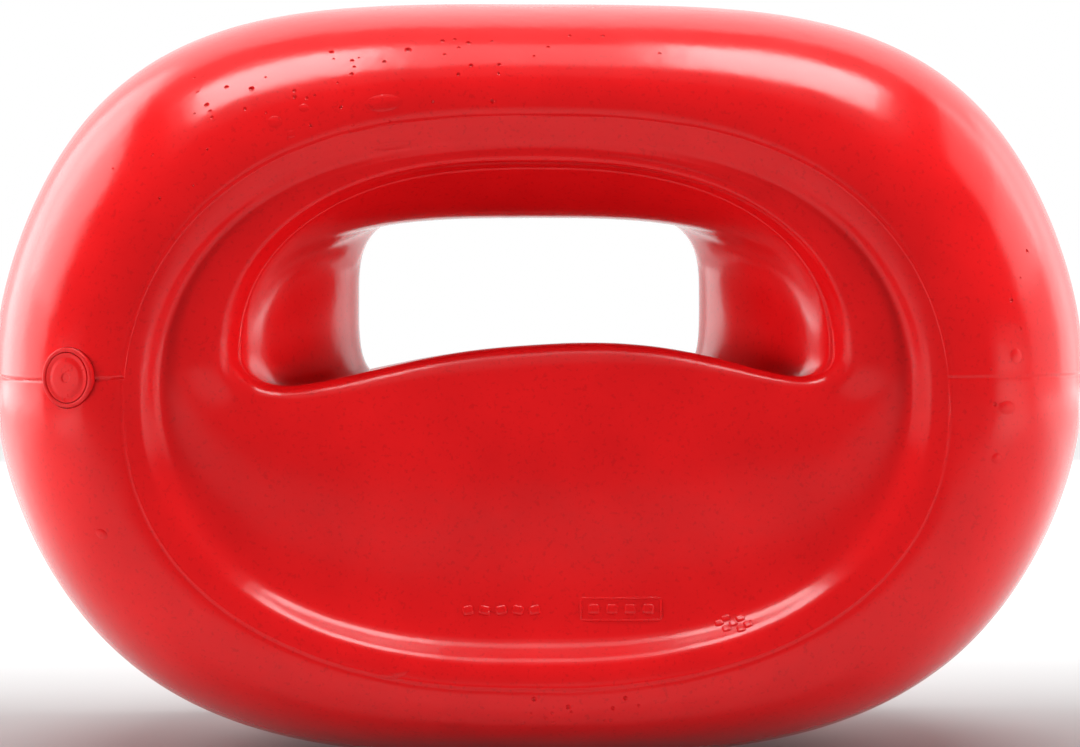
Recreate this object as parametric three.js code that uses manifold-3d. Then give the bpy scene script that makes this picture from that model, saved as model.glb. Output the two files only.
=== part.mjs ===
// Oval medicine ball with one hand hole, moulded in soft red PVC and weighted with loose ballast.
// Millimetres, +Z up, +X to the user's right, front face towards -Y, origin at the middle of the foot.
//
// The skin is lofted: a fan of closed cross-sections runs once round the hand hole, and every
// section passes through the same nested ovals, from the waist of the hole, over the mouth of the
// hole and the recessed front face, to the crest of the rim and the outer outline. The back mirrors
// the front, except that the hole opens up slightly more behind its waist.

import * as THREE from 'three';
import { mergeVertices } from 'three/addons/utils/BufferGeometryUtils.js';
import Module from 'manifold-3d';

const wasm = await Module();
wasm.setup();

// ---------------------------------------------------------------- driving dimensions

const PARTING_HEIGHT = 99;      // the mould's parting plane above the foot
const INSERT_SHIFT = -2.8;      // the front and back mould inserts sit a little left of centre
const ARCH_SKEW = 0.22;         // how much fuller the arch of a lower edge is towards the right
const ARCH_POWER = 2.5;         // flatness of the top of that arch
const SKIN = 5;                 // nominal thickness of the PVC
const CLEARANCE = 0.35;         // gap between pieces that touch
const BALLAST_LEVEL = 60;       // height of the settled ballast above the foot

// The ovals, from the hole outwards. centre, rise and drop are heights about the parting plane;
// width is half the width; square holds the superellipse exponents at the side, top and bottom;
// arch lifts the middle of the lower edge; depth is the distance in front of the middle plane
// at the side, top and bottom.
const WAIST = {
  width: 45.2, centre: 19, rise: 24.5, drop: 29, arch: 14, square: [3.6, 4.2, 4.5],
  depth: [0, 0, 0],
};
const THROAT = {
  name: 'throat',
  width: 67.8, centre: 8, rise: 32.6, drop: 22, arch: 20.2, square: [3, 3, 4],
  depth: [45, 30, 33],
};
const SEAM = {
  name: 'mouth',
  width: 73.3, centre: 6, rise: 45.8, drop: 19.5, arch: 21, square: [2.2, 2.4, 4],
  depth: [56, 50, 46.5],
};
const LIP = {
  name: 'mouth',
  width: 78, centre: 5, rise: 49.5, drop: 22, arch: 20.5, square: [2.2, 2.4, 3.6],
  depth: [61, 53.5, 50.8],
};
const SHELF = {
  width: 87, centre: 3, rise: 53.5, drop: 28, arch: 11, square: [2.2, 2.4, 3],
  depth: [62, 54, 56.2],
};
const PANEL = {
  width: 92, centre: -2, rise: 60.5, drop: 61.5, arch: 0, square: [2.2, 2.4, 2.5],
  depth: [62, 54.6, 59.3],
};
const SLOPE = {
  width: 97, centre: -6, rise: 67.5, drop: 65, arch: 0, square: [2.2, 2.45, 2.35],
  depth: [66.3, 56.2, 66.3],
};
const CREST = {
  width: 104, centre: -7, rise: 74, drop: 73.2, arch: 0, square: [2.25, 2.55, 2.25],
  depth: [68, 58, 67],
};
const OUTLINE = {
  width: 143, centre: 0, rise: 97, drop: 99.9, arch: 0, square: [2.1, 3.3, 2.85],
  depth: [0, 0, 0],
};
const FRONT_OVALS = [WAIST, THROAT, SEAM, LIP, SHELF, PANEL, SLOPE, CREST];
const REAR_OPENING = 1.5;       // how much lower the hole's lower edge is behind than in front
const REAR_THROAT_RISE = 37;    // and how high its throat reaches

const SKIN_GRID = { around: 56, perGap: 1, rim: 6 };
const CAVITY_GRID = { around: 36, perGap: 2, rim: 3 };

// Filler plug and its seat, on the parting plane at the left end of the rim.
const PLUG_TILT = THREE.MathUtils.degToRad(30);   // from straight ahead towards the left
const PLUG = {
  headRadius: 6.1, headThick: 1.6, dome: 0.35, stemRadius: 3.6, ribRadius: 4.0, ribs: 3,
  stemLength: 13, tip: 1.2,
};
const SEAT = {
  flangeRadius: 7.4, flangeThick: 3.2, proud: 0.15, sleeveRadius: 5.8, sleeveLength: 11,
};

const RED = 0xd81c20;

// ---------------------------------------------------------------- small helpers

const mix = (a, b, t) => a + (b - a) * t;

// Blends a [side, top, bottom] triple for a direction round the hole.
function around([side, top, bottom], sine) {
  return mix(side, sine >= 0 ? top : bottom, sine * sine);
}

// A point of an oval, on the front half. Angle 0 is the right side, and 90 degrees the top.
function ovalPoint(oval, angle, shift) {
  const cosine = Math.cos(angle);
  const sine = Math.sin(angle);
  const power = around(oval.square, sine);
  const reach = (Math.abs(cosine) ** power + Math.abs(sine) ** power) ** (-1 / power);
  const across = reach * cosine;
  const arch = (1 - Math.abs(across) ** ARCH_POWER) * (1 + ARCH_SKEW * across);
  const lift = sine < 0 ? oval.arch * arch : 0;
  const height = oval.centre + (sine < 0 ? oval.drop : oval.rise) * reach * sine + lift;
  return new THREE.Vector3(
    shift + oval.width * across,
    -around(oval.depth, sine),
    PARTING_HEIGHT + height,
  );
}

// The same oval, moved outwards in its plane and backwards in depth.
function grown(oval, outwards, backwards) {
  return {
    ...oval,
    width: oval.width + outwards,
    rise: oval.rise + outwards,
    drop: oval.drop + outwards,
    depth: oval.depth.map((depth) => depth - backwards),
  };
}

const mirrored = (point) => new THREE.Vector3(point.x, -point.y, point.z);

// The rim runs as a quarter ellipse from the crest (step 0) to the outline (step 1).
function rimPoint(crest, outline, step) {
  const turn = step * Math.PI / 2;
  return new THREE.Vector3(
    mix(crest.x, outline.x, Math.sin(turn)),
    crest.y * Math.cos(turn),
    mix(crest.z, outline.z, Math.sin(turn)),
  );
}

// The oval that takes another's place on the rear half.
function rearOval(oval) {
  if (oval.name === 'throat') {
    return { ...oval, rise: oval.rise + REAR_THROAT_RISE - THROAT.rise, arch: oval.arch - REAR_OPENING };
  }
  return oval.name === 'mouth' ? { ...oval, arch: oval.arch - REAR_OPENING } : oval;
}

// Half a cross-section at a direction round the hole: up the front from the waist to the outline.
function halfSection(ovals, opposite, outline, angle, grid) {
  const knots = ovals.map((oval) => ovalPoint(oval, angle, INSERT_SHIFT));
  const crest = knots[knots.length - 1];
  const beforeWaist = mirrored(ovalPoint(opposite[1], angle, INSERT_SHIFT));
  const pastCrest = crest.clone().multiplyScalar(2).sub(knots[knots.length - 2]);
  pastCrest.y = knots[knots.length - 2].y;
  const curve = new THREE.CatmullRomCurve3([beforeWaist, ...knots, pastCrest], false, 'centripetal');
  const gaps = knots.length + 1;
  const half = [];
  for (let step = 0; step < (knots.length - 1) * grid.perGap; step += 1) {
    half.push(curve.getPoint((1 + step / grid.perGap) / gaps));
  }
  const edge = ovalPoint(outline, angle, 0);
  for (let step = 0; step < grid.rim; step += 1) {
    half.push(rimPoint(crest, edge, step / grid.rim));
  }
  half[0].y = 0;
  return half;
}

// One closed cross-section: up the front from the waist to the outline, and back down the rear.
function sectionLoop(ovals, outline, angle, grid) {
  const rearOvals = ovals.map(rearOval);
  const front = halfSection(ovals, rearOvals, outline, angle, grid);
  const rear = halfSection(rearOvals, ovals, outline, angle, grid).slice(1).reverse().map(mirrored);
  return [...front, ovalPoint(outline, angle, 0), ...rear];
}

// Lofts the sections into one closed ring-shaped surface, cut off flat at the floor.
function ringGeometry(ovals, outline, grid, floor) {
  const loops = [];
  for (let step = 0; step < grid.around; step += 1) {
    loops.push(sectionLoop(ovals, outline, step / grid.around * 2 * Math.PI, grid));
  }
  const perLoop = loops[0].length;
  const positions = loops.flat().flatMap((p) => [p.x, p.y, Math.max(p.z, floor)]);
  const index = [];
  for (let i = 0; i < grid.around; i += 1) {
    const here = i * perLoop;
    const next = (i + 1) % grid.around * perLoop;
    for (let j = 0; j < perLoop; j += 1) {
      const k = (j + 1) % perLoop;
      index.push(here + j, here + k, next + k, here + j, next + k, next + j);
    }
  }
  const geometry = new THREE.BufferGeometry();
  geometry.setAttribute('position', new THREE.Float32BufferAttribute(positions, 3));
  geometry.setIndex(index);
  return geometry;
}

function toSolid(geometry) {
  const bare = geometry.clone();
  bare.deleteAttribute('normal');
  bare.deleteAttribute('uv');
  const merged = mergeVertices(bare, 1e-4);
  return new wasm.Manifold(new wasm.Mesh({
    numProp: 3,
    vertProperties: new Float32Array(merged.attributes.position.array),
    triVerts: new Uint32Array(merged.index.array),
  }));
}

function toGeometry(solid) {
  const mesh = solid.getMesh();
  const geometry = new THREE.BufferGeometry();
  geometry.setAttribute('position', new THREE.Float32BufferAttribute(mesh.vertProperties, 3));
  geometry.setIndex(Array.from(mesh.triVerts));
  return geometry;
}

// A turned piece along +Z: profile holds [radius, height] pairs, starting and ending on the axis.
function turned(profile, segments = 32) {
  return new THREE.LatheGeometry(profile.map(([r, h]) => new THREE.Vector2(r, h)), segments)
    .rotateX(Math.PI / 2);
}

// ---------------------------------------------------------------- where the plug sits

// The frame of the plug: origin on the skin, +Z straight out of it.
function plugFrame() {
  const crest = ovalPoint(CREST, Math.PI, INSERT_SHIFT);
  const edge = ovalPoint(OUTLINE, Math.PI, 0);
  const reach = crest.x - edge.x;
  const turn = Math.atan(Math.tan(PLUG_TILT) * reach / -crest.y);
  const origin = rimPoint(crest, edge, turn / (Math.PI / 2));
  origin.z = PARTING_HEIGHT;
  const outward = new THREE.Vector3(-Math.sin(PLUG_TILT), -Math.cos(PLUG_TILT), 0);
  const side = new THREE.Vector3(0, 0, 1);
  return new THREE.Matrix4()
    .makeBasis(side, new THREE.Vector3().crossVectors(outward, side), outward)
    .setPosition(origin);
}

// ---------------------------------------------------------------- the pieces

// Hollow of the skin, larger or smaller by a margin all round.
function cavityGeometry(margin) {
  const wall = SKIN + margin;
  const ovals = [
    grown(WAIST, wall, 0),
    grown(THROAT, wall, 1),
    grown(LIP, wall, wall + 1),
    grown(PANEL, 1, wall),
    grown(CREST, -3, wall + 2),
  ];
  return ringGeometry(ovals, grown(OUTLINE, -wall, 0), CAVITY_GRID, wall);
}

// The bore for the seat's sleeve and the counterbore for its flange.
function seatPocket() {
  const sleeve = SEAT.sleeveRadius + CLEARANCE;
  const flange = SEAT.flangeRadius + CLEARANCE;
  const ledge = SEAT.proud - SEAT.flangeThick - CLEARANCE;
  return turned([[0, -20], [sleeve, -20], [sleeve, ledge], [flange, ledge], [flange, 8], [0, 8]]);
}

function bodyShell(frame) {
  const outer = toSolid(ringGeometry(FRONT_OVALS, OUTLINE, SKIN_GRID, 0));
  const cavity = toSolid(cavityGeometry(0));
  const pocket = toSolid(seatPocket().applyMatrix4(frame));
  return toGeometry(outer.subtract(cavity).subtract(pocket));
}

function ballastFill() {
  const fill = toSolid(cavityGeometry(CLEARANCE));
  const room = toSolid(new THREE.BoxGeometry(400, 400, BALLAST_LEVEL)
    .translate(0, 0, BALLAST_LEVEL / 2));
  return toGeometry(fill.intersect(room));
}

// A flanged bush that lines the filling hole; the plug's head sinks into its flange.
function plugSeat() {
  const top = SEAT.proud;
  const bore = PLUG.ribRadius + CLEARANCE;
  const pocket = PLUG.headRadius + CLEARANCE;
  const ledge = top - PLUG.headThick - CLEARANCE;
  const under = top - SEAT.flangeThick;
  return turned([
    [bore, under - SEAT.sleeveLength], [SEAT.sleeveRadius, under - SEAT.sleeveLength],
    [SEAT.sleeveRadius, under], [SEAT.flangeRadius, under],
    [SEAT.flangeRadius, top - 0.6], [SEAT.flangeRadius - 0.6, top], [pocket, top],
    [pocket, ledge], [bore, ledge], [bore, under - SEAT.sleeveLength],
  ]);
}

function fillerPlug() {
  const top = SEAT.proud;
  const under = top - PLUG.headThick;
  const end = under - PLUG.stemLength;
  const pitch = PLUG.stemLength / (PLUG.ribs + 1);
  const ribs = [];
  for (let rib = PLUG.ribs; rib >= 1; rib -= 1) {
    const at = under - rib * pitch;
    ribs.push([PLUG.stemRadius, at - 0.8], [PLUG.ribRadius, at], [PLUG.stemRadius, at + 0.4]);
  }
  return turned([
    [0, end], [PLUG.stemRadius - PLUG.tip, end], [PLUG.stemRadius, end + PLUG.tip],
    ...ribs,
    [PLUG.stemRadius, under], [PLUG.headRadius, under],
    [PLUG.headRadius, top - 0.4], [PLUG.headRadius - 0.5, top],
    [PLUG.headRadius / 2, top + PLUG.dome], [0, top + PLUG.dome],
  ]);
}

// ---------------------------------------------------------------- the scene

function named(name, geometry, color, roughness) {
  const material = new THREE.MeshStandardMaterial({ color, roughness, metalness: 0 });
  const mesh = new THREE.Mesh(geometry, material);
  mesh.name = name;
  return mesh;
}

function medicineBall() {
  const frame = plugFrame();
  const ball = new THREE.Group();
  ball.add(
    named('body_shell', bodyShell(frame), RED, 0.25),
    named('ballast_fill', ballastFill(), 0xb9a27a, 0.95),
  );
  const filler = new THREE.Group();
  filler.applyMatrix4(frame);
  filler.add(
    named('plug_seat', plugSeat(), 0xc01a1e, 0.45),
    named('filler_plug', fillerPlug(), RED, 0.35),
  );
  ball.add(filler);
  return ball;
}

export default medicineBall();
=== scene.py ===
"""Looks of the oval medicine ball with a hand hole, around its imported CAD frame.

The skin is lofted here on a fine grid from the same nested ovals as the CAD part, so the mould
lines, witness lines, pits and blisters are real relief in the mesh. The ovals and everything
measured on the ball are in the CAD part's millimetres; the stage and the camera are in metres.
"""
import math
import random

import bmesh
import bpy
import numpy as np
from mathutils import Matrix, Vector, noise
from mathutils.bvhtree import BVHTree


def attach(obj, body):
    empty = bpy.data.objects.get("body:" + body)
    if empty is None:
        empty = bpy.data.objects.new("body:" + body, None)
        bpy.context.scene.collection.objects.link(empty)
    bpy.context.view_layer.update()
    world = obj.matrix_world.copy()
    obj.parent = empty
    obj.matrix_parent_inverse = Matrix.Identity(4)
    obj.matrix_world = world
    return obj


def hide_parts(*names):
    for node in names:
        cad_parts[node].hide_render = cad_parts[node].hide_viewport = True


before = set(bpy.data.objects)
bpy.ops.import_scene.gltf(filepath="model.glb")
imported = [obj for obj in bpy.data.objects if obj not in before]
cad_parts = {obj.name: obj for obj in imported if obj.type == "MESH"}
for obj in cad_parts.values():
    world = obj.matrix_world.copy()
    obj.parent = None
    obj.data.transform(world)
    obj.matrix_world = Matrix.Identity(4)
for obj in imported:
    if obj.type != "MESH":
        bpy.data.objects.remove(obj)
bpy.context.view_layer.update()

MM = 0.001

# ------------------------------------------------------------------ driving dimensions, millimetres

PARTING_HEIGHT = 99.0     # the mould's parting plane above the foot
INSERT_SHIFT = -2.8       # the front and back mould inserts sit a little left of centre
ARCH_SKEW = 0.22          # how much fuller the arch of a lower edge is towards the right
ARCH_POWER = 2.5          # flatness of the top of that arch
SKIN = 5.0                # thickness of the PVC
SNUG = 0.12               # gap between pieces that touch


def oval(width, centre, rise, drop, arch, square, depth, name=""):
    return dict(width=width, centre=centre, rise=rise, drop=drop, arch=arch,
                square=square, depth=depth, name=name)


# Half width; height of the centre about the parting plane; rise above and drop below it; lift of
# the lower edge; superellipse exponents and depth in front of the middle plane, both as
# (side, top, bottom).
WAIST = oval(45.2, 19, 24.5, 29, 14, (3.6, 4.2, 4.5), (0, 0, 0))
THROAT = oval(67.8, 8, 32.6, 22, 20.2, (3, 3, 4), (45, 30, 33), "throat")
SEAM = oval(73.3, 6, 45.8, 19.5, 21, (2.2, 2.4, 4), (56, 50, 46.5), "mouth")
LIP = oval(78, 5, 49.5, 22, 20.5, (2.2, 2.4, 3.6), (61, 53.5, 50.8), "mouth")
SHELF = oval(87, 3, 53.5, 28, 11, (2.2, 2.4, 3), (62, 54, 56.2))
PANEL = oval(92, -2, 60.5, 61.5, 0, (2.2, 2.4, 2.5), (62, 54.6, 59.3))
SLOPE = oval(97, -6, 67.5, 65, 0, (2.2, 2.45, 2.35), (66.3, 56.2, 66.3))
CREST = oval(104, -7, 74, 73.2, 0, (2.25, 2.55, 2.25), (68, 58, 67))
OUTLINE = oval(143, 0, 97, 99.9, 0, (2.1, 3.3, 2.85), (0, 0, 0))
FRONT_OVALS = [WAIST, THROAT, SEAM, LIP, SHELF, PANEL, SLOPE, CREST]
REAR_OPENING = 1.5        # how much lower the hole's lower edge is behind than in front
REAR_THROAT_RISE = 37.0   # and how high its throat reaches

SEAM_AT = 2.0             # stations of the two mould lines along a section: knot 2 is the seam,
WITNESS_AT = 6.55         # and the insert's witness line runs between the slope and the crest
STATION_MM = 7.5          # about how much of the surface one station spans at those lines
BEAD = dict(station=2.9, height=1.4, half_width=1.6, fullest_at=math.radians(45))

PLUG_TILT = math.radians(30)
PLUG = dict(head=6.1, thick=1.6, dome=0.35, stem=3.6, rib=4.0, ribs=3, length=13.0, tip=1.2)
SEAT = dict(flange=7.4, thick=3.2, proud=0.15, sleeve=5.8, length=11.0)

# ------------------------------------------------------------------ the loft


def mix(a, b, t):
    return a + (b - a) * t


def around(triple, sine):
    side, top, bottom = triple
    return mix(side, np.where(sine >= 0, top, bottom), sine * sine)


def oval_points(shape, angles, shift):
    """Points of an oval on the front half, one row for each angle round the hand hole."""
    cosine, sine = np.cos(angles), np.sin(angles)
    power = around(shape["square"], sine)
    reach = (np.abs(cosine) ** power + np.abs(sine) ** power) ** (-1 / power)
    across = reach * cosine
    arch = (1 - np.abs(across) ** ARCH_POWER) * (1 + ARCH_SKEW * across)
    lift = np.where(sine < 0, shape["arch"] * arch, 0)
    size = np.where(sine < 0, shape["drop"], shape["rise"])
    height = shape["centre"] + size * reach * sine + lift
    return np.stack([shift + shape["width"] * across, -around(shape["depth"], sine),
                     PARTING_HEIGHT + height], axis=1)


def grown(shape, outwards, backwards):
    """The same oval, moved outwards in its plane and backwards in depth."""
    return dict(shape, width=shape["width"] + outwards, rise=shape["rise"] + outwards,
                drop=shape["drop"] + outwards, depth=tuple(d - backwards for d in shape["depth"]))


def catmull_rom(p0, p1, p2, p3, t):
    """Centripetal Catmull-Rom from p1 to p2, for rows of points."""
    d0, d1, d2 = (np.sqrt(np.linalg.norm(b - a, axis=1))[:, None]
                  for a, b in ((p0, p1), (p1, p2), (p2, p3)))
    m1 = ((p1 - p0) / d0 - (p2 - p0) / (d0 + d1) + (p2 - p1) / d1) * d1
    m2 = ((p2 - p1) / d1 - (p3 - p1) / (d1 + d2) + (p3 - p2) / d2) * d1
    return (p1 + m1 * t + (3 * (p2 - p1) - 2 * m1 - m2) * t ** 2
            + (2 * (p1 - p2) + m1 + m2) * t ** 3)


def rear_oval(shape):
    """The oval that takes another's place on the rear half."""
    if shape["name"] == "throat":
        rise = shape["rise"] + REAR_THROAT_RISE - THROAT["rise"]
        return dict(shape, rise=rise, arch=shape["arch"] - REAR_OPENING)
    return dict(shape, arch=shape["arch"] - REAR_OPENING) if shape["name"] == "mouth" else shape


def section_points(ovals, opposite, outline, angles, station):
    """Points at one station of a half: knots 0, 1, 2..., then one more over the rim."""
    last = len(ovals) - 1
    knots = [oval_points(shape, angles, INSERT_SHIFT) for shape in ovals]
    if station >= last:
        turn = (station - last) * math.pi / 2
        points = mix(knots[last], oval_points(outline, angles, 0), math.sin(turn))
        points[:, 1] = knots[last][:, 1] * math.cos(turn)
        return points
    before = oval_points(opposite[1], angles, INSERT_SHIFT) * [1, -1, 1]
    past = 2 * knots[last] - knots[last - 1]
    past[:, 1] = knots[last - 1][:, 1]
    knots = [before, *knots, past]
    i = int(station)
    return catmull_rom(*knots[i:i + 4], station - i)


def loft(ovals, outline, angles, stations, floor):
    """Closed loops, one for each angle: up the front from the waist and down the back."""
    behind = [rear_oval(shape) for shape in ovals]
    front = [section_points(ovals, behind, outline, angles, s) for s in stations]
    rear = [section_points(behind, ovals, outline, angles, s) * [1, -1, 1] for s in stations[:0:-1]]
    front[0][:, 1] = 0
    grid = np.stack([*front, oval_points(outline, angles, 0), *rear], axis=1)
    grid[..., 2] = np.maximum(grid[..., 2], floor)
    return grid


def gathered(plain, spots, reach, count):
    """Evenly spaced values, with more of them within reach of the spots."""
    close = [spot + np.linspace(-reach, reach, count) for spot in spots]
    spread = [v for v in plain if all(abs(v - spot) > reach for spot in spots)]
    return np.sort(np.concatenate([spread, *close]))


def grid_normals(grid):
    along = np.roll(grid, -1, axis=1) - np.roll(grid, 1, axis=1)
    across = np.roll(grid, -1, axis=0) - np.roll(grid, 1, axis=0)
    normal = np.cross(along, across)
    return normal / np.maximum(np.linalg.norm(normal, axis=2, keepdims=True), 1e-9)


def grid_faces(count_u, count_v):
    index = np.arange(count_u * count_v).reshape(count_u, count_v)
    right, down = np.roll(index, -1, axis=1), np.roll(index, -1, axis=0)
    return np.stack([index, right, np.roll(right, -1, axis=0), down], axis=2).reshape(-1, 4)


def smooth_noise(points, scale, seed):
    """Noise from about -1 to 1 at points in millimetres."""
    flat = (points.reshape(-1, 3) / scale + seed).tolist()
    return np.array([noise.noise(p) for p in flat]).reshape(points.shape[:-1])


# ------------------------------------------------------------------ making and joining meshes


def link_mesh(name, mesh):
    piece = bpy.data.objects.new(name, mesh)
    bpy.context.scene.collection.objects.link(piece)
    return piece


def mesh_piece(name, points, faces):
    """An object from points in millimetres."""
    mesh = bpy.data.meshes.new(name)
    mesh.from_pydata((np.asarray(points, float) * MM).tolist(), [], [list(f) for f in faces])
    mesh.polygons.foreach_set("use_smooth", np.ones(len(mesh.polygons), bool))
    mesh.update()
    return link_mesh(name, mesh)


def turned(name, profile, segments, place):
    """A turned solid: profile holds (radius, height) pairs from axis to axis, or a closed loop."""
    closed = profile[0][0] > 0
    points, faces, rings = [], [], []
    for radius, height in profile:
        if radius == 0:
            rings.append([len(points)] * segments)
            points.append(place @ Vector((0, 0, height)))
            continue
        rings.append(list(range(len(points), len(points) + segments)))
        for i in range(segments):
            turn = 2 * math.pi * i / segments
            points.append(place @ Vector((radius * math.cos(turn), radius * math.sin(turn), height)))
    pairs = list(zip(rings, rings[1:] + rings[:1])) if closed else list(zip(rings, rings[1:]))
    for low, high in pairs:
        for i in range(segments):
            j = (i + 1) % segments
            corners = [low[i], low[j], high[j], high[i]]
            faces.append(list(dict.fromkeys(corners)))
    return mesh_piece(name, points, faces)


def rounded(profile, radius, steps=4):
    """Rounds the corners of an open profile with small arcs."""
    out = [profile[0]]
    for before, corner, after in zip(profile, profile[1:], profile[2:]):
        a, c, b = Vector(before), Vector(corner), Vector(after)
        cut = min(radius, (a - c).length * 0.45, (b - c).length * 0.45)
        start, end = c + (a - c).normalized() * cut, c + (b - c).normalized() * cut
        for step in range(steps + 1):
            t = step / steps
            out.append(tuple(start.lerp(c, t).lerp(c.lerp(end, t), t)))
    return [*out, profile[-1]]


def apply_boolean(piece, cutter, operation):
    modifier = piece.modifiers.new("cut", "BOOLEAN")
    modifier.object = cutter
    modifier.operation = operation
    modifier.solver = "MANIFOLD"
    deps = bpy.context.evaluated_depsgraph_get()
    mesh = bpy.data.meshes.new_from_object(piece.evaluated_get(deps))
    piece.modifiers.clear()
    old = piece.data
    piece.data = mesh
    bpy.data.meshes.remove(old)
    bpy.data.meshes.remove(cutter.data)


# ------------------------------------------------------------------ the skin


SECTIONS, STATIONS, RIM_STATIONS = 440, 96, 38


def skin_angles():
    """Angles round the hole, closer together where the parting line crosses the rim's ends."""
    plain = np.linspace(0, 2 * math.pi, SECTIONS, endpoint=False)
    fine = np.radians(np.arange(-0.8, 6.6, 0.11))
    right, left = fine % (2 * math.pi), math.pi - fine
    low, high = fine[0], fine[-1]

    def clear(angle):
        signed = (angle + math.pi) % (2 * math.pi) - math.pi
        return not (low <= signed <= high or low <= math.pi - angle <= high)
    return np.sort(np.concatenate([[a for a in plain if clear(a)], right, left]))


def skin_stations():
    last = len(FRONT_OVALS) - 1
    plain = np.linspace(0, last, STATIONS, endpoint=False)
    inner = gathered(plain, [SEAM_AT, WITNESS_AT], 0.12, 15)
    return np.concatenate([inner, last + np.arange(RIM_STATIONS) / RIM_STATIONS])


def witness_line(grid, off):
    """The insert's edge: a fine raised line that wavers, with a low step down outside it."""
    waver = 0.5 * smooth_noise(grid * [1, 0, 1], 22, 1.7) + 0.15 * smooth_noise(grid, 5, 4.2)
    off = off - waver * 0.45
    height = 0.13 + 0.09 * smooth_noise(grid, 8, 3.1)
    line = height * np.exp(-(off / 0.2) ** 2)
    ditch = -0.10 * np.exp(-((off - 0.75) / 0.4) ** 2)
    return line + ditch


def core_seam(angles, off):
    """Where the core meets the insert: a groove that opens up towards the lower right."""
    rightwards = np.clip(np.cos(angles), 0, 1) ** 2
    low = np.clip(0.6 - np.sin(angles), 0, 1)
    mouth = np.clip(1 + 1.25 * np.sin(angles), 0, 1)     # fades along the smooth lower edge
    depth = (0.2 + 0.75 * rightwards * low) * mouth
    half = 0.2 + 0.5 * rightwards * low
    return -depth[:, None] * np.exp(-(off / half[:, None]) ** 2)


def lip_bead(grid, angles, along):
    """A bead over the top of the mouth, fullest at the upper right."""
    steps = np.linalg.norm(np.roll(grid, -1, axis=1) - grid, axis=2)
    path = np.cumsum(steps, axis=1)
    lip = np.argmin(np.abs(along[:len(along) // 2] - BEAD["station"]))
    off = np.minimum(np.abs(path - path[:, [lip]]), np.abs(path - path[:, [-lip]]))
    rightwards = np.clip(np.cos(angles - BEAD["fullest_at"]), 0, 1) ** 3
    weight = np.clip(np.sin(angles) * 1.6, 0, 1) * (0.45 + 0.55 * rightwards)
    return BEAD["height"] * weight[:, None] * np.exp(-(off / BEAD["half_width"]) ** 2)


def parting_line(grid):
    """The line over each end of the rim: a groove with a hair of flash, notched at the left."""
    x, z = grid[..., 0], grid[..., 2]
    crest, edge = CREST["width"], OUTLINE["width"]
    leftmost = np.clip((-x - crest) / (edge - crest), 0, 1)
    sag = 0.9 * np.sin(leftmost * math.pi) * (x < 0)
    waver = 0.3 * smooth_noise(grid * [1, 1, 0], 15, 8.4)
    off = z - PARTING_HEIGHT + sag - waver
    notch = np.exp(-((x + edge) / 9) ** 2)
    depth, half = 0.16 + 0.6 * notch + 0.22 * (x < 0), 0.26 + 0.4 * notch
    groove = -depth * np.exp(-(off / half) ** 2)
    flash = 0.10 * np.exp(-((off - 0.75) / 0.3) ** 2)
    return groove + flash


def mould_relief(grid, angles, stations):
    """Height of the mould lines and the gentle unevenness of moulded PVC, at every point."""
    front = len(stations)
    along = np.full(grid.shape[1], stations[-1])
    along[:front] = stations
    along[front + 1:] = stations[:0:-1]
    relief = witness_line(grid, (along - WITNESS_AT)[None, :] * STATION_MM)
    relief += core_seam(angles, (along - SEAM_AT)[None, :] * STATION_MM)
    relief += lip_bead(grid, angles, along)
    relief += parting_line(grid) * (along >= WITNESS_AT)[None, :]
    relief += 0.07 * smooth_noise(grid, 26, 11.3) + 0.02 * smooth_noise(grid, 7, 5.9)
    return relief


def build_skin():
    angles, stations = skin_angles(), skin_stations()
    grid = loft(FRONT_OVALS, OUTLINE, angles, stations, 0)
    normals = grid_normals(grid)
    on_foot = grid[..., 2] <= 0
    relief = np.where(on_foot, 0, mould_relief(grid, angles, stations))
    grid = grid + normals * relief[..., None]
    grid[..., 2] = np.maximum(grid[..., 2], 0)
    return mesh_piece("ball_skin", grid.reshape(-1, 3), grid_faces(*grid.shape[:2]))


def build_hollow():
    """The inside of the skin, as a cutter, with the margins of the CAD part's cavity."""
    ovals = [grown(WAIST, SKIN, 0), grown(THROAT, SKIN, 1), grown(LIP, SKIN, SKIN + 1),
             grown(PANEL, 1, SKIN), grown(CREST, -3, SKIN + 2)]
    angles = np.linspace(0, 2 * math.pi, 120, endpoint=False)
    stations = np.arange(0, len(ovals) - 1 + 0.999, 0.25)
    grid = loft(ovals, grown(OUTLINE, -SKIN, 0), angles, stations, SKIN)
    return mesh_piece("hollow", grid.reshape(-1, 3), grid_faces(*grid.shape[:2]))


def plug_place():
    """The plug's frame in millimetres: origin on the skin, +Z straight out of it."""
    crest = oval_points(CREST, np.array([math.pi]), INSERT_SHIFT)[0]
    edge = oval_points(OUTLINE, np.array([math.pi]), 0)[0]
    turn = math.atan(math.tan(PLUG_TILT) * (crest[0] - edge[0]) / -crest[1])
    origin = Vector((mix(crest[0], edge[0], math.sin(turn)), crest[1] * math.cos(turn),
                     PARTING_HEIGHT))
    outward = Vector((-math.sin(PLUG_TILT), -math.cos(PLUG_TILT), 0))
    side = Vector((0, 0, 1))
    turn_to = Matrix((side, outward.cross(side), outward)).transposed()
    return Matrix.Translation(origin) @ turn_to.to_4x4()


def cut_seat_pocket(skin, place):
    sleeve, flange = SEAT["sleeve"] + SNUG, SEAT["flange"] + SNUG
    ledge = SEAT["proud"] - SEAT["thick"] - SNUG
    deep, above = -20, 8       # well through the skin and well outside it
    profile = [(0, deep), (sleeve, deep), (sleeve, ledge), (flange, ledge), (flange, above),
               (0, above)]
    apply_boolean(skin, turned("pocket", profile, 96, place), "DIFFERENCE")


# ------------------------------------------------------------------ burst bubbles and blisters


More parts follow.
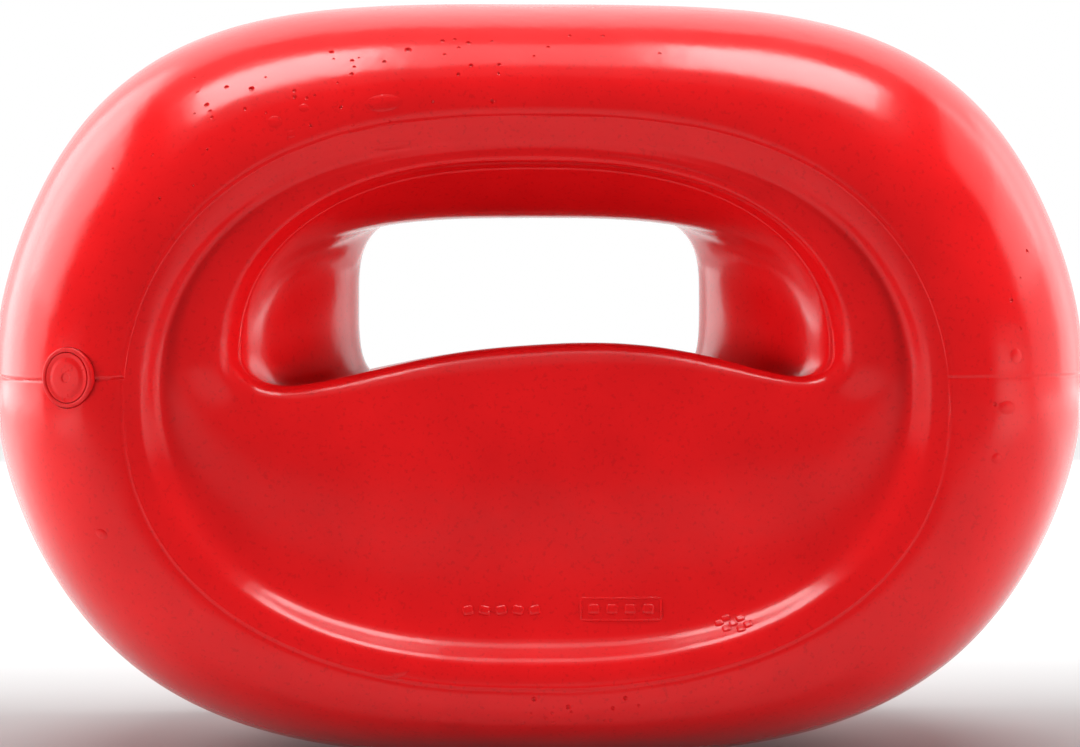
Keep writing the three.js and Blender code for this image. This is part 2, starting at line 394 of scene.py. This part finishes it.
class Surface:
    """Finds the skin straight in front of, or behind, a point given by x and height, in mm."""

    def __init__(self, piece):
        mesh = piece.data
        points = [v.co / MM for v in mesh.vertices]
        self.tree = BVHTree.FromPolygons(points, [p.vertices[:] for p in mesh.polygons])

    def at(self, x, z, side=-1):
        start = Vector((x, side * 200, PARTING_HEIGHT + z))
        place, normal, _, _ = self.tree.ray_cast(start, Vector((0, -side, 0)))
        return place, normal


PIT_FIELDS = [   # centre x and height about the parting plane, half spread of each, count
    (-66, 70, 24, 6, 16), (-30, 79, 24, 5, 14), (12, 82, 22, 4, 5), (9, -81, 17, 3.5, 13),
    (-96, 55, 14, 12, 6), (112, 10, 8, 30, 5), (-40, 64, 30, 4, 6),
]
LARGE_PITS = [(-34.5, 81, 1.1), (-19.5, 83, 0.95), (-26, 83.5, 0.8), (-53.5, 80.5, 0.8),
              (-73, 71, 0.9), (-84, 67, 0.8), (114, 19, 0.8), (111, -7, 0.9)]


def pit_places(random_source):
    places = list(LARGE_PITS)
    for x, z, spread_x, spread_z, count in PIT_FIELDS:
        for _ in range(count):
            places.append((x + random_source.uniform(-spread_x, spread_x),
                           z + random_source.uniform(-spread_z, spread_z),
                           random_source.uniform(0.38, 0.75)))
    return places


def cut_pits(skin, surface):
    """Burst bubbles: small round dimples with a crisp edge, most of them at the front upper left."""
    random_source = random.Random(7)
    build = bmesh.new()
    taken = []
    for side in (-1, 1):
        for x, z, radius in pit_places(random_source):
            place, normal = surface.at(x, z, side)
            if place is None or any((place - other).length < radius + gap for other, gap in taken):
                continue
            taken.append((place, radius + 0.15))
            centre = (place + normal * radius * 0.4) * MM
            bmesh.ops.create_icosphere(build, subdivisions=2, radius=radius * MM,
                                       matrix=Matrix.Translation(centre))
    for face in build.faces:
        face.smooth = True
    mesh = bpy.data.meshes.new("pits")
    build.to_mesh(mesh)
    build.free()
    apply_boolean(skin, link_mesh("pits", mesh), "DIFFERENCE")


def raised_patch(points, faces, surface, centre, outline, height, crown):
    """Adds a low closed dome or pad that follows the skin; outline gives (x, z) for an angle.

    The higher the crown, the flatter its top. Its underside is sunk into the skin.
    """
    count, rings, sunk = 40, 5, 0.5
    first = len(points)
    middle, normal = surface.at(*centre)
    points.append(middle + normal * height)
    for ring in range(1, rings + 1):
        reach = ring / rings
        for i in range(count):
            dx, dz = outline(2 * math.pi * i / count)
            place, normal = surface.at(centre[0] + dx * reach, centre[1] + dz * reach)
            level = height * (1 - reach ** crown) - 0.03 * (ring == rings)
            points.append(place + normal * level)
    base = len(points)
    for i in range(count):
        dx, dz = outline(2 * math.pi * i / count)
        place, normal = surface.at(centre[0] + dx, centre[1] + dz)
        points.append(place - normal * sunk)
    points.append(middle - normal * sunk)

    def ring_index(ring, i):
        return first + 1 + (ring - 1) * count + i % count
    for i in range(count):
        faces.append([first, ring_index(1, i), ring_index(1, i + 1)])
        for ring in range(1, rings):
            faces.append([ring_index(ring, i), ring_index(ring + 1, i),
                          ring_index(ring + 1, i + 1), ring_index(ring, i + 1)])
        j = (i + 1) % count
        faces.append([ring_index(rings, i), base + i, base + j, ring_index(rings, i + 1)])
        faces.append([base + i, base + count, base + j])


def rounded_bar(half_x, half_z, lean=0.0, power=4.0):
    """The outline of a rounded bar, leaning by an angle."""
    def outline(turn):
        c, s = math.cos(turn), math.sin(turn)
        reach = (abs(c) ** power + abs(s) ** power) ** (-1 / power)
        x, z = half_x * reach * c, half_z * reach * s
        return (x * math.cos(lean) - z * math.sin(lean), x * math.sin(lean) + z * math.cos(lean))
    return outline


def patches_piece(name, surface, patches, crown):
    """One object of raised patches: (x, height, outline, thickness) each."""
    points, faces = [], []
    for x, z, outline, height in patches:
        raised_patch(points, faces, surface, (x, z), outline, height, crown)
    return mesh_piece(name, points, faces)


FLAT, DOMED = 4, 2        # crowns of the marks and of the blisters
MARK_ROW = -57.5          # height of the marks about the parting plane


def build_marks(surface):
    """Three plain raised marks low on the front panel, where such balls are stamped."""
    bars_at, frame_at, rosette_at = -11.6, 18, (45.5, MARK_ROW - 3.2)
    bars = [(bars_at + 4.1 * i, MARK_ROW - 0.2, rounded_bar(1.45, 1.25, 0.2 * (-1) ** i), 0.4)
            for i in range(-2, 3)]
    framed = [(frame_at, MARK_ROW + dz, rounded_bar(10.2, 0.32, 0, 8), 0.3) for dz in (-2.7, 2.7)]
    framed += [(frame_at + dx, MARK_ROW, rounded_bar(0.32, 2.5, 0, 8), 0.3) for dx in (-9.9, 9.9)]
    framed += [(frame_at - 6.7 + 4.5 * i, MARK_ROW, rounded_bar(1.5, 1.35), 0.4) for i in range(4)]
    rosette = [(rosette_at[0] + 3.45 * math.cos(turn), rosette_at[1] + 1.3 * math.sin(turn),
                rounded_bar(1.15, 0.75, 0.3), 0.3)
               for turn in np.linspace(0, 2 * math.pi, 6, endpoint=False)]
    rosette.append((*rosette_at, rounded_bar(1.1, 0.7, 0.3), 0.3))
    return [patches_piece("mark_bars", surface, bars, FLAT),
            patches_piece("mark_frame", surface, framed, FLAT),
            patches_piece("mark_rosette", surface, rosette, FLAT)]


BLISTERS = [   # x, height about the parting plane, half width, half height, lean, thickness
    (-40.5, 67.3, 4.8, 2.2, 0.1, 0.35), (-67, 62.5, 1.9, 1.6, 0, 0.2), (-60, 66, 1.3, 1.1, 0, 0.15),
    (-63, 59.5, 1.2, 1.0, 0.4, 0.15), (-38.5, 57, 5.4, 1.1, 0.1, 0.2),
    (115, 5.2, 1.6, 1.9, 0, 0.3), (112.5, -7.5, 2.4, 1.7, 0, 0.3), (110, -20, 1.6, 1.4, 0, 0.25),
    (-23.5, -84, 3.4, 2.2, 0, 0.3), (-109, -38, 1.7, 1.2, -0.5, 0.3), (-38, -72, 3.6, 1.5, 0.2, 0.2),
]


def build_blisters(surface):
    patches = [(x, z, rounded_bar(wide, tall, lean, 2.0), height)
               for x, z, wide, tall, lean, height in BLISTERS]
    return patches_piece("blisters_front", surface, patches, DOMED)


# ------------------------------------------------------------------ the plug and its seat


def build_seat(place):
    top = SEAT["proud"]
    bore, pocket = PLUG["rib"] + SNUG, PLUG["head"] + SNUG
    ledge, under = top - PLUG["thick"] - SNUG, top - SEAT["thick"]
    end = under - SEAT["length"]
    flange, sleeve = SEAT["flange"], SEAT["sleeve"]
    profile = [(bore, end + 4), (bore, end), (sleeve, end), (sleeve, under), (flange, under),
               (flange, top), (pocket, top), (pocket, ledge), (bore, ledge), (bore, end + 4.1)]
    return turned("plug_seat_ring", rounded(profile, 0.45), 128, place)


def build_plug(place):
    top = SEAT["proud"]
    under = top - PLUG["thick"]
    end, pitch = under - PLUG["length"], PLUG["length"] / (PLUG["ribs"] + 1)
    stem, rib, head, dome = PLUG["stem"], PLUG["rib"], PLUG["head"], PLUG["dome"]
    profile = [(0, end), (stem - PLUG["tip"], end), (stem, end + PLUG["tip"])]
    for number in range(PLUG["ribs"], 0, -1):
        at = under - number * pitch
        profile += [(stem, at - 0.8), (rib, at), (stem, at + 0.4)]
    profile += [(stem, under), (head, under), (head, top), (head - 1.1, top - 0.25),
                (head - 2.2, top + dome * 0.4), (1.3, top + dome), (1.0, top + dome - 0.3),
                (0, top + dome - 0.3)]
    return turned("filler_plug_body", rounded(profile, 0.3), 128, place)


# ------------------------------------------------------------------ materials


def new_material(name):
    material = bpy.data.materials.new(name)
    material.use_nodes = True
    nodes = material.node_tree.nodes
    return material, nodes, material.node_tree.links, nodes["Principled BSDF"]


def object_noise(nodes, links, scale, detail=4.0, roughness=0.55, stretch=(1, 1, 1)):
    where = nodes.new("ShaderNodeTexCoord")
    mapping = nodes.new("ShaderNodeMapping")
    mapping.inputs["Scale"].default_value = stretch
    links.new(where.outputs["Object"], mapping.inputs["Vector"])
    texture = nodes.new("ShaderNodeTexNoise")
    texture.inputs["Scale"].default_value = scale
    texture.inputs["Detail"].default_value = detail
    texture.inputs["Roughness"].default_value = roughness
    links.new(mapping.outputs["Vector"], texture.inputs["Vector"])
    return texture.outputs["Fac"]


def ramp(nodes, links, value, stops):
    node = nodes.new("ShaderNodeValToRGB")
    elements = node.color_ramp.elements
    while len(elements) < len(stops):
        elements.new(0.5)
    for element, (position, color) in zip(elements, stops):
        element.position = position
        element.color = (*color, 1) if isinstance(color, tuple) else (color, color, color, 1)
    links.new(value, node.inputs["Fac"])
    return node.outputs["Color"]


def blend_colors(nodes, links, kind, first, second):
    node = nodes.new("ShaderNodeMix")
    node.data_type = "RGBA"
    node.blend_type = kind
    node.inputs["Factor"].default_value = 1.0
    links.new(first, node.inputs["A"])
    links.new(second, node.inputs["B"])
    return node.outputs["Result"]


def bump(nodes, links, height, strength, distance, onto=None):
    node = nodes.new("ShaderNodeBump")
    node.inputs["Strength"].default_value = strength
    node.inputs["Distance"].default_value = distance
    links.new(height, node.inputs["Height"])
    if onto is not None:
        links.new(onto, node.inputs["Normal"])
    return node.outputs["Normal"]


def pvc(name, deep, light, roughness, grain=1.0):
    """Glossy soft PVC: clouded colour, fine specks, a faint ripple, hairline scuffs and haze."""
    material, nodes, links, shader = new_material(name)
    cloud = ramp(nodes, links, object_noise(nodes, links, 34, 5), [(0.3, deep), (0.7, light)])
    speck = ramp(nodes, links, object_noise(nodes, links, 900, 2), [(0.3, 0.86), (0.42, 1.0)])
    color = blend_colors(nodes, links, "MULTIPLY", cloud, speck)
    links.new(color, shader.inputs["Base Color"])
    haze = ramp(nodes, links, object_noise(nodes, links, 60, 6, 0.7),
                [(0.35, roughness), (0.75, roughness + 0.07)])
    scuff = ramp(nodes, links, object_noise(nodes, links, 120, 3, 0.6, (1, 1, 14)),
                 [(0.70, 0.0), (0.76, 0.06)])
    links.new(blend_colors(nodes, links, "ADD", haze, scuff), shader.inputs["Roughness"])
    shader.inputs["IOR"].default_value = 1.5
    shader.inputs["Subsurface Weight"].default_value = 0.1
    shader.inputs["Subsurface Radius"].default_value = (0.01, 0.0012, 0.0012)
    shader.inputs["Subsurface Scale"].default_value = 0.4
    swell = bump(nodes, links, object_noise(nodes, links, 70, 2), 0.10 * grain, 0.0012)
    peel = bump(nodes, links, object_noise(nodes, links, 420, 3), 0.10 * grain, 0.0003, swell)
    dust = bump(nodes, links, object_noise(nodes, links, 2600, 2, 0.7), 0.05 * grain, 0.0001, peel)
    links.new(dust, shader.inputs["Normal"])
    return material


def sand(name):
    material, nodes, links, shader = new_material(name)
    grains = nodes.new("ShaderNodeTexVoronoi")
    grains.inputs["Scale"].default_value = 1400
    where = nodes.new("ShaderNodeTexCoord")
    links.new(where.outputs["Object"], grains.inputs["Vector"])
    tone = ramp(nodes, links, grains.outputs["Color"],
                [(0.0, (0.28, 0.20, 0.12)), (0.5, (0.55, 0.43, 0.28)), (1.0, (0.80, 0.70, 0.52))])
    damp = ramp(nodes, links, object_noise(nodes, links, 30), [(0.3, 0.75), (0.7, 1.0)])
    links.new(blend_colors(nodes, links, "MULTIPLY", tone, damp), shader.inputs["Base Color"])
    rough = ramp(nodes, links, object_noise(nodes, links, 300), [(0.3, 0.8), (0.7, 0.98)])
    links.new(rough, shader.inputs["Roughness"])
    links.new(bump(nodes, links, grains.outputs["Distance"], 0.6, 0.0004), shader.inputs["Normal"])
    return material


# ------------------------------------------------------------------ stage, light and camera

FLOOR_FRONT, FLOOR_BACK, HALF_WIDTH = -2.6, 2.6, 2.6
# painted light on the floor: its glow rises along y from GLOW_FROM to GLOW_TO, up to strength GLOW
GLOW_FROM, GLOW_TO, GLOW = -0.05, 0.4, 0.8


def build_stage():
    """A pale floor that glows with painted light, brighter behind the ball."""
    material, nodes, links, shader = new_material("floor_paper_painted_glow")
    shader.inputs["Base Color"].default_value = (0.36, 0.36, 0.36, 1)
    shader.inputs["Roughness"].default_value = 0.9
    shader.inputs["Specular IOR Level"].default_value = 0.1
    # painted light: the floor glows white, more strongly the further it lies behind the ball
    shader.inputs["Emission Color"].default_value = (1, 1, 1, 1)
    where = nodes.new("ShaderNodeNewGeometry")
    split = nodes.new("ShaderNodeSeparateXYZ")
    links.new(where.outputs["Position"], split.inputs[0])
    glow = nodes.new("ShaderNodeMapRange")
    glow.interpolation_type = "SMOOTHSTEP"
    glow.inputs["From Min"].default_value = GLOW_FROM
    glow.inputs["From Max"].default_value = GLOW_TO
    glow.inputs["To Max"].default_value = GLOW
    links.new(split.outputs["Y"], glow.inputs["Value"])
    links.new(glow.outputs["Result"], shader.inputs["Emission Strength"])
    corners = [(-HALF_WIDTH, FLOOR_FRONT, 0), (HALF_WIDTH, FLOOR_FRONT, 0),
               (HALF_WIDTH, FLOOR_BACK, 0), (-HALF_WIDTH, FLOOR_BACK, 0)]
    floor = mesh_piece("pale_floor", np.array(corners) / MM, [(0, 1, 2, 3)])
    floor.data.materials.append(material)


def area_light(name, place, target, size, radiance, reflected):
    """A soft box of a given radiance, which may light the ball with no reflection in it."""
    data = bpy.data.lights.new(name, "AREA")
    data.shape = "RECTANGLE"
    data.size, data.size_y = size
    data.energy = radiance * math.pi * size[0] * size[1]
    light = bpy.data.objects.new(name, data)
    light.location = place
    light.rotation_euler = (Vector(target) - Vector(place)).to_track_quat("-Z", "Y").to_euler()
    light.visible_camera = False
    light.visible_glossy = reflected
    bpy.context.scene.collection.objects.link(light)


ROOM = 0.12           # radiance of the dim room as the ball reflects it
BACKGROUND = 1.0      # and of the plain background seen past the floor
MIDDLE = (0, 0, 0.1)
SOFT_BOXES = [   # name, place, target, size, radiance
    ("overhead_left", (-0.32, -0.07, 1.0), (-0.32, -0.07, 0), (0.44, 0.44), 8.0),
    ("overhead_middle", (0.0, -0.07, 1.0), (0.0, -0.07, 0), (0.20, 0.44), 1.2),
    ("overhead_right", (0.34, -0.05, 1.0), (0.34, -0.05, 0), (0.46, 0.46), 8.5),
    ("overhead_soft", (0, -0.05, 1.05), (0, -0.05, 0), (1.4, 1.2), 0.25),
    ("back_sheet", (0, 1.5, 1.1), (0, 0, 1.1), (5.2, 2.2), 0.95),
    ("left_sheet", (-1.0, 0.55, 0.5), MIDDLE, (1.1, 1.1), 1.8),
    ("right_sheet", (1.1, 0.45, 0.35), MIDDLE, (1.2, 0.8), 0.7),
    ("right_box", (0.85, 0.22, 0.6), MIDDLE, (0.7, 0.5), 1.0),
    ("left_box", (-0.85, 0.26, 0.55), MIDDLE, (0.7, 0.5), 1.0),
]
FILLS = [
    ("fill_left", (-1.15, -0.5, 0.15), MIDDLE, (0.7, 0.28), 19.0),
    ("fill_right", (1.15, -0.5, 0.15), MIDDLE, (0.7, 0.28), 19.0),
]


def build_light():
    """A light tent: bright overhead and behind the ball, dim in front of it."""
    world = bpy.data.worlds.new("studio")
    bpy.context.scene.world = world
    world.use_nodes = True
    nodes, links = world.node_tree.nodes, world.node_tree.links
    nodes["Background"].inputs["Color"].default_value = (1, 1, 1, 1)
    seen = nodes.new("ShaderNodeLightPath")
    strength = nodes.new("ShaderNodeMapRange")
    strength.inputs["To Min"].default_value = ROOM
    strength.inputs["To Max"].default_value = BACKGROUND
    links.new(seen.outputs["Is Camera Ray"], strength.inputs["Value"])
    links.new(strength.outputs["Result"], nodes["Background"].inputs["Strength"])
    for box in SOFT_BOXES:
        area_light(*box, reflected=True)
    for fill in FILLS:
        area_light(*fill, reflected=False)


CAMERA_DISTANCE = 0.80
CAMERA_AZIMUTH = math.radians(2.0)     # a little to the left of straight ahead
CAMERA_RISE = 0.0168                   # the lens above the point it looks at
AIM_DROP = 0.0004                      # that point below the parting plane
VIEW_WIDTH = 0.28723                   # width of the view at the ball's middle plane
SENSOR_WIDTH = 36.0


def build_camera():
    data = bpy.data.cameras.new("camera")
    data.sensor_width = SENSOR_WIDTH
    data.lens = SENSOR_WIDTH * CAMERA_DISTANCE / VIEW_WIDTH
    camera = bpy.data.objects.new("camera", data)
    aim = Vector((0, 0, PARTING_HEIGHT * MM - AIM_DROP))
    camera.location = aim + Vector((-math.sin(CAMERA_AZIMUTH) * CAMERA_DISTANCE,
                                    -math.cos(CAMERA_AZIMUTH) * CAMERA_DISTANCE, CAMERA_RISE))
    camera.rotation_euler = (aim - camera.location).to_track_quat("-Z", "Y").to_euler()
    bpy.context.scene.collection.objects.link(camera)
    bpy.context.scene.camera = camera


# ------------------------------------------------------------------ putting it together


def dress(piece, material, body, node=None):
    piece.data.materials.clear()
    piece.data.materials.append(material)
    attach(piece, body)
    if node:
        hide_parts(node)


bpy.context.scene.view_settings.view_transform = "Standard"
build_camera()
build_light()
build_stage()

SKIN_PVC = pvc("skin_pvc", (0.66, 0.005, 0.007), (0.77, 0.007, 0.009), 0.15)
SEAT_PVC = pvc("seat_pvc", (0.59, 0.005, 0.007), (0.69, 0.007, 0.009), 0.30, 1.5)
PLUG_PVC = pvc("plug_pvc", (0.64, 0.005, 0.007), (0.74, 0.007, 0.009), 0.26, 1.3)

place = plug_place()
skin = build_skin()
apply_boolean(skin, build_hollow(), "DIFFERENCE")
cut_seat_pocket(skin, place)
surface = Surface(skin)
cut_pits(skin, surface)
skin.data.set_sharp_from_angle(angle=math.radians(38))
dress(skin, SKIN_PVC, "ball", "body_shell")
for mark in [*build_marks(surface), build_blisters(surface)]:
    mark.data.set_sharp_from_angle(angle=math.radians(50))
    dress(mark, SKIN_PVC, "ball")

seat = build_seat(place)
dress(seat, SEAT_PVC, "ball", "plug_seat")
plug = build_plug(place)
dress(plug, PLUG_PVC, "plug", "filler_plug")
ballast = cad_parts["ballast_fill"]
ballast.data.materials.clear()
ballast.data.materials.append(sand("sand"))
